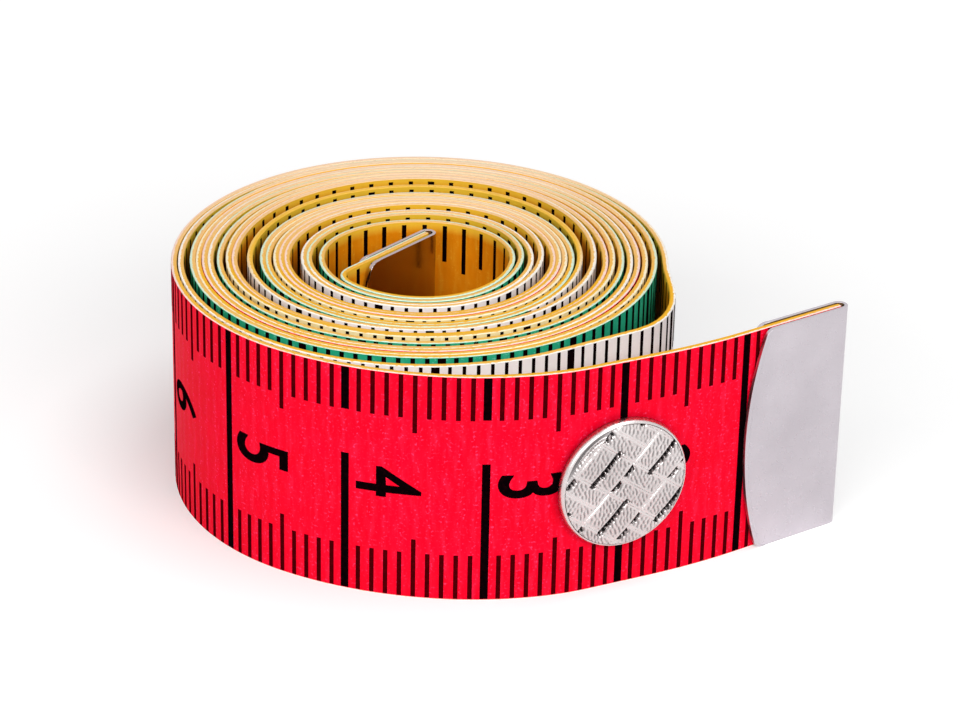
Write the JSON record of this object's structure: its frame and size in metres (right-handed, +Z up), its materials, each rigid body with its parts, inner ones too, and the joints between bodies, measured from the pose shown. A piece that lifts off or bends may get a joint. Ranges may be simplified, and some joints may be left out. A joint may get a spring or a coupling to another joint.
{
  "type": "cloth tape measure",
  "caption": "Rolled cloth tape measure standing on its edge, with a folded metal clip at each end and a press snap that closes the roll.",
  "frame": {"origin": "centre of the underside of the bounding box, on the surface that the roll stands on", "axes": "+X along the longest side, towards the outer end clip; +Y away from the face that carries the snap cap; +Z up, along the tape's width"},
  "size_m": [0.0492, 0.0378, 0.0177],
  "materials": {
    "tape_wound": "coated woven tape, cream cut edges",
    "tape_outer": "coated woven tape, crimson face with a black scale",
    "tape_inner": "coated woven tape, orange-yellow face with a black scale",
    "clip_metal": "satin nickel plate",
    "snap_cap_metal": "bright nickel plate with a stamped weave",
    "snap_metal": "nickel plate"
  },
  "bodies": {
    "roll": {"tape_roll": "tape_wound", "snap_stud": "snap_metal", "snap_post": "snap_metal"},
    "outer_turn": {"tape_outer_turn": "tape_outer"},
    "free_end": {"tape_free_end": "tape_outer", "outer_end_clip": "clip_metal", "snap_cap": "snap_cap_metal", "snap_socket": "snap_metal", "snap_socket_spring": "snap_metal"},
    "inner_end": {"tape_inner_end": "tape_inner", "inner_end_clip": "clip_metal"}
  },
  "joints": [
    {"name": "outer_turn_peel", "type": "hinge", "parent": "roll", "child": "outer_turn", "pos_m": [-0.02452, 0.00076, 0.00885], "axis": [0, 0, -1], "range_deg": [0, 90], "stiffness_Nm_per_rad": 0.003},
    {"name": "free_end_flex", "type": "hinge", "parent": "outer_turn", "child": "free_end", "pos_m": [-0.00426, -0.01859, 0.00885], "axis": [0, 0, -1], "range_deg": [-6.5, 60], "stiffness_Nm_per_rad": 0.003},
    {"name": "inner_end_flex", "type": "hinge", "parent": "roll", "child": "inner_end", "pos_m": [-0.01234, -0.00244, 0.00885], "axis": [0, 0, -1], "range_deg": [0, 45], "stiffness_Nm_per_rad": 0.002}
  ]
}
